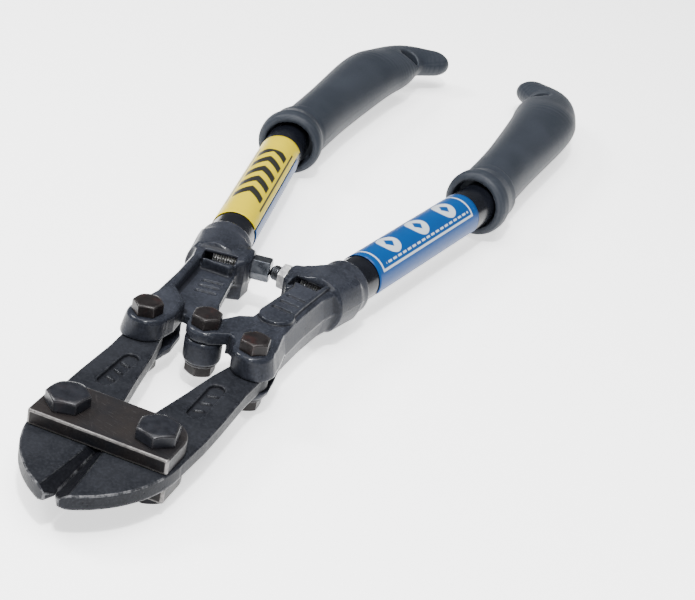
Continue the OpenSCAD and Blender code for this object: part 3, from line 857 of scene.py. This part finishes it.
def grip_field(x, y, z):
    """Right grip: flattened balls swept along its middle line, their size changing evenly, joined
    to a turned flange with a recess, with a round hole through the hooked end and a fine
    parting line round it."""
    body = 1e9
    pairs = list(zip(GRIP_BEADS[:-1], GRIP_BEADS[1:]))
    for (ax, ay, az, aw, ah), (bx, by, bz, bw, bh) in pairs:
        ex, ey = bx - ax, by - ay
        t = np.clip(((x - ax) * ex + (y - ay) * ey) / (ex * ex + ey * ey), 0, 1)
        wide, high = aw + t * (bw - aw), ah + t * (bh - ah)
        flat = np.hypot(x - ax - t * ex, y - ay - t * ey)
        rise = (z - AXIS_Z - az - t * (bz - az)) * wide / high
        body = np.minimum(body, np.hypot(flat, rise) - wide)
    out, along = handle_frame(x, y)
    start = (BEND_Y - AXIS_Y) / math.cos(SPLAY) - 5.5
    reach = np.hypot(out + 0.8, z - AXIS_Z)
    body = cut(body, along - start - 5.8, 0.6)
    body = join(body, outline(along - start, reach, FLANGE) - 0.15, 1.2)
    seam = np.exp(-((z - AXIS_Z) / 0.3) ** 2) * 0.1
    body = cut(body - seam, np.hypot(x - HANG_X, y - HANG_Y) - HANG_R, 0.9)
    return body


both("soft_grip", grip_field, (12.5, 199, -11), (51.5, 345.5, 15.5), 0.62, rubber,
     ("handle_left", "handle_right"), "grip_rubber", ["grip"])


# ---- fasteners ----

def bolt_field(cx, cy, flats, height, shank, seat, end, turn=12.0):
    """Hexagon head with a turned chamfer, slightly crowned, on a shank with a chamfered end."""
    def field(x, y, z):
        u, v = x - cx, y - cy
        reach = np.hypot(u, v)
        crown = (seat + height - z) - reach ** 2 * 0.006
        cone = ((reach - flats * 0.44) * 0.55 + (z - seat - height)) / 1.14
        head = meet(hexagon(u, v, flats, math.radians(turn)), seat - z, 0.2)
        head = meet(meet(head, -crown, 0.3), cone, 0.35)
        pin = plate(reach - shank, z, end, seat + 1, 0.4)
        return np.minimum(head, pin)
    return field


def nut_field(cx, cy, flats, bottom, top, turn=4.0):
    """Hexagon nut chamfered on both faces."""
    def field(x, y, z):
        u, v = x - cx, y - cy
        reach = np.hypot(u, v)
        cone = (reach - flats * 0.5) * 0.5 + np.abs(z - (bottom + top) / 2) - (top - bottom) / 2
        return meet(plate(hexagon(u, v, flats, math.radians(turn)), z, bottom, top, 0.15),
                    cone / 1.12, 0.25)
    return field


def washer_field(cx, cy, radius, bottom, top):
    """Flat washer with softened edges."""
    def field(x, y, z):
        return plate(np.hypot(x - cx, y - cy) - radius, z, bottom, top, 0.18)
    return field


def around(cx, cy, radius, bottom, top):
    """Low and high corners of a box round an upright piece."""
    return ((cx - radius, cy - radius, bottom - 0.6), (cx + radius, cy + radius, top + 0.6))


PAIR = ("handle_left", "handle_right")
both("strap_bolt_hex", bolt_field(STRAP_BOLT_X, 0, 10.6, 4, 3, STRAP_Z, FLOOR_Z + 0.05),
     *around(STRAP_BOLT_X, 0, 7, FLOOR_Z, STRAP_Z + 4), 0.22, blue_bolt, ("head", "head"),
     "bolt_black", ["strap_bolt"])
both("strap_washer_disc", washer_field(STRAP_BOLT_X, 0, 6.2, -STRAP_Z - 0.8, -STRAP_Z),
     *around(STRAP_BOLT_X, 0, 7, -STRAP_Z - 0.8, -STRAP_Z), 0.25, washer_skin,
     ("head", "head"), "washer_steel", ["strap_washer"])
both("strap_nut_hex", nut_field(STRAP_BOLT_X, 0, 10, -STRAP_Z - 4.2, -STRAP_Z - 0.8),
     *around(STRAP_BOLT_X, 0, 7, -STRAP_Z - 4.2, -STRAP_Z - 0.8), 0.22, blue_bolt,
     ("head", "head"), "bolt_black", ["strap_nut"])
both("tail_bolt_hex", bolt_field(TAIL_X, TAIL_Y, 8, 3.7, 2.5, ARM_TOP, ARM_FOOT - 4.8),
     *around(TAIL_X, TAIL_Y, 5.4, ARM_FOOT - 4.8, ARM_TOP + 3.7), 0.2, brown_bolt, PAIR,
     "bolt_black", ["tail_bolt"])
both("tail_washer_disc", washer_field(TAIL_X, TAIL_Y, 4.9, ARM_FOOT - 0.8, ARM_FOOT),
     *around(TAIL_X, TAIL_Y, 5.6, ARM_FOOT - 0.8, ARM_FOOT), 0.22, washer_skin, PAIR,
     "washer_steel", ["tail_washer"])
both("tail_nut_hex", nut_field(TAIL_X, TAIL_Y, 8, ARM_FOOT - 4.2, ARM_FOOT - 0.8),
     *around(TAIL_X, TAIL_Y, 5.4, ARM_FOOT - 4.2, ARM_FOOT - 0.8), 0.2, brown_bolt, PAIR,
     "bolt_black", ["tail_nut"])
carve("center_bolt_hex", bolt_field(0, CENTER_Y, 8, 3.7, 2.5, ARM_TOP + 0.1, HUB_FOOT - 4.8),
      *around(0, CENTER_Y, 5.4, HUB_FOOT - 4.8, ARM_TOP + 3.8), 0.2, brown_bolt,
      "handle_left", "bolt_black", "center_bolt")
carve("center_washer_disc", washer_field(0, CENTER_Y, 4.9, HUB_FOOT - 0.8, HUB_FOOT),
      *around(0, CENTER_Y, 5.6, HUB_FOOT - 0.8, HUB_FOOT), 0.22, washer_skin,
      "handle_left", "washer_steel", "center_washer")
carve("center_nut_hex", nut_field(0, CENTER_Y, 8, HUB_FOOT - 4.2, HUB_FOOT - 0.8),
      *around(0, CENTER_Y, 5.4, HUB_FOOT - 4.2, HUB_FOOT - 0.8), 0.2, brown_bolt,
      "handle_left", "bolt_black", "center_nut")


# ---- stop screws ----

PITCH = 0.8


def thread(along, across, rise, low, high):
    """A screw thread: a rod whose radius falls and rises once a turn and once a pitch."""
    turn = np.arctan2(rise, across) / (2 * math.pi)
    wave = np.abs(2 * ((along / PITCH - turn) % 1) - 1)
    return plate(np.hypot(across, rise) - STOP_R + 0.42 * wave, along, low, high, 0.2)


def stop_stud_field(x, y, z):
    """Threaded stud with a blunt cone at its inner end."""
    along, across = stop_frame(x, y)
    rise = z - STOP_Z
    rod = thread(along, across, rise, -0.4, 19.3)
    return meet(rod, (np.hypot(across, rise) - 1.5 - (along + 0.4) * 0.9) / 1.35, 0.2)


def stop_screw_field(x, y, z):
    """Long hexagon with chamfered ends on a threaded shank, written on the right."""
    along, across = stop_frame(x, y)
    rise = z - STOP_Z
    reach = np.hypot(across, rise)
    cone = (reach - 3.55) * 0.6 + np.abs(along - 3.8) - 3.0
    head = meet(plate(hexagon(across, rise, 6.8, math.radians(30)), along, 0.8, 6.8, 0.15),
                cone / 1.17, 0.25)
    return np.minimum(head, thread(along, across, rise, 6.0, 19.4))


def lock_nut_field(x, y, z):
    """Thin hexagon nut on the stud, chamfered on both faces."""
    along, across = stop_frame(x, y)
    rise = z - STOP_Z
    cone = (np.hypot(across, rise) - 4.0) * 0.5 + np.abs(along - 5.05) - 1.45
    return meet(plate(hexagon(across, rise, 7.8, math.radians(4)), along, 3.6, 6.5, 0.15),
                cone / 1.12, 0.25)


STOP_LOW, STOP_HIGH = (-1.5, STOP_Y - 9, STOP_Z - 5), (21.5, STOP_Y + 6, STOP_Z + 5)
carve("stop_stud_thread", stop_stud_field, STOP_LOW, STOP_HIGH, 0.17, screw_steel, "stop_adjuster",
      "plated_steel", "stop_stud")
carve("lock_nut_hex", lock_nut_field, (2, STOP_Y - 6.5, STOP_Z - 5), (8.5, STOP_Y + 5, STOP_Z + 5),
      0.18, nut_steel, "handle_right", "plated_steel", "lock_nut")
carve("stop_screw_thread", mirrored(stop_screw_field),
      (-STOP_HIGH[0], STOP_LOW[1], STOP_LOW[2]), (-STOP_LOW[0], STOP_HIGH[1], STOP_HIGH[2]), 0.17,
      screw_steel, "handle_left", "plated_steel", "stop_screw")


# ---- floor, light and camera ----

def floor():
    """A pale floor: a sheet far larger than the view."""
    side = 6000.0
    corners = np.array([(-side, -side), (side, -side), (side, side), (-side, side)])
    mesh = bpy.data.meshes.new("floor")
    mesh.from_pydata([(x * MM, y * MM, 0) for x, y in corners], [], [(0, 1, 2, 3)])
    p = Paint("floor_white")
    tone = p.noise(p.point(), 8, 2)
    mesh.materials.append(p.done(Base_Color=p.mix(tone, (0.90, 0.90, 0.90), (0.92, 0.92, 0.92)),
                                 Roughness=0.6, Emission_Color=(1, 1, 1), Emission_Strength=1.3))
    sheet = bpy.data.objects.new("floor", mesh)
    bpy.context.scene.collection.objects.link(sheet)


def softbox(name, place, aim, size, watts, colour=(1, 1, 1)):
    """A square soft light in millimetres of the work frame, turned towards a point."""
    light = bpy.data.lights.new(name, "AREA")
    light.energy, light.size, light.color = watts, size * MM, colour
    lamp = bpy.data.objects.new(name, light)
    bpy.context.scene.collection.objects.link(lamp)
    start = Vector((np.array(place) + ORIGIN) * MM)
    end = Vector((np.array(aim) + ORIGIN) * MM)
    lamp.matrix_world = Matrix.Translation(start) @ (
        (end - start).to_track_quat("-Z", "Y").to_matrix().to_4x4())


def camera(place, azimuth, elevation, roll, lens):
    """A camera at a place of the work frame, its axes from three angles in degrees."""
    a, e, r = (math.radians(v) for v in (azimuth, elevation, roll))
    back = np.array([math.sin(a) * math.cos(e), -math.cos(a) * math.cos(e), math.sin(e)])
    right = np.array([math.cos(a), math.sin(a), 0])
    up = np.cross(back, right)
    right, up = (math.cos(r) * right + math.sin(r) * up, -math.sin(r) * right + math.cos(r) * up)
    data = bpy.data.cameras.new("camera")
    data.lens, data.sensor_width, data.clip_start, data.clip_end = lens, 36, 0.01, 20
    view = bpy.data.objects.new("camera", data)
    bpy.context.scene.collection.objects.link(view)
    matrix = np.eye(4)
    matrix[:3, 0], matrix[:3, 1], matrix[:3, 2] = right, up, back
    matrix[:3, 3] = (np.array(place) + ORIGIN) * MM
    view.matrix_world = Matrix(matrix.tolist())
    bpy.context.scene.camera = view


floor()
softbox("top", (0, 60, 1000), (0, 100, 0), 900, 20)
softbox("key", (-620, 60, 620), (0, 80, 0), 260, 8)
softbox("front", (300, -760, 420), (0, 80, 0), 200, 3)
softbox("glint", (120, -300, 900), (0, 60, 0), 90, 14)
world = bpy.data.worlds.new("studio")
world.use_nodes = True
world.node_tree.nodes["Background"].inputs["Color"].default_value = (0.97, 0.985, 1.0, 1)
world.node_tree.nodes["Background"].inputs["Strength"].default_value = 0.3
bpy.context.scene.world = world
camera((151.56, -342.66, 252.57), 15.68, 28.07, 11.44, 1718.08 / 695 * 36)
